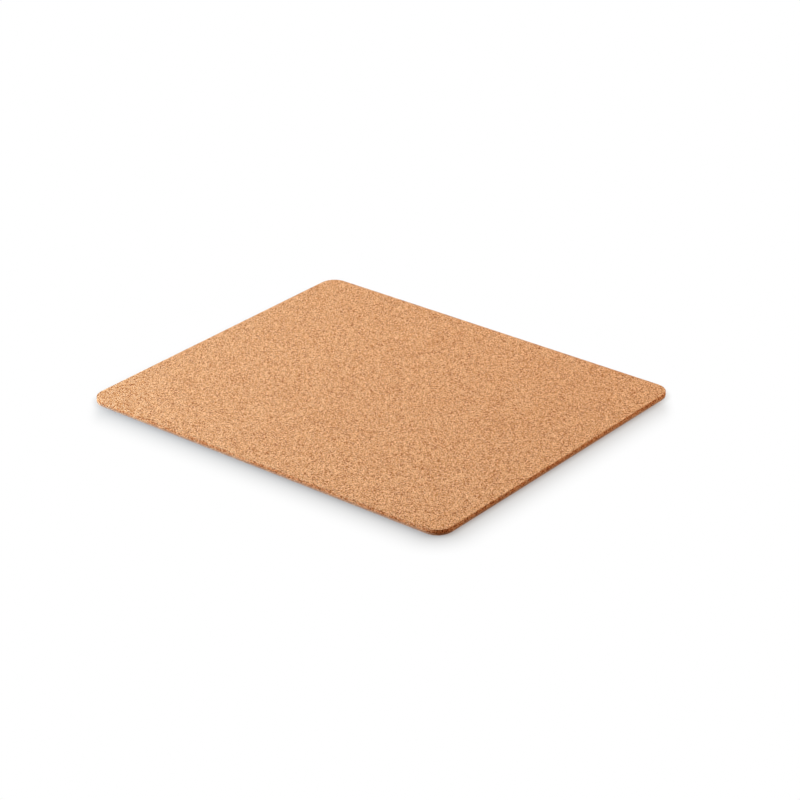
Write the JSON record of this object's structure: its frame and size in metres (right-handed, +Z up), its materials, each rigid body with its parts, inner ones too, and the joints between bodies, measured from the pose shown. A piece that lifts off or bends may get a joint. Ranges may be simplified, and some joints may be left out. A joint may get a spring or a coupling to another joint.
{
  "type": "mouse pad",
  "caption": "Flat rectangular cork mouse pad with rounded corners: a fine-grained cork face bonded to a brown cork-rubber base that grips the desk.",
  "frame": {"origin": "middle of the underside, on the desk top", "axes": "+X along the long side, +Y along the short side, +Z up through the thickness"},
  "size_m": [0.24, 0.2, 0.0031],
  "materials": {
    "face_cork": "fine agglomerated cork, sanded matt",
    "adhesive": "amber pressure-sensitive film",
    "base_cork_rubber": "rubber filled with cork granules, matt"
  },
  "bodies": {
    "root": {"cork_face_sheet": "face_cork", "adhesive_film": "adhesive", "cork_rubber_base": "base_cork_rubber"}
  },
  "joints": []
}
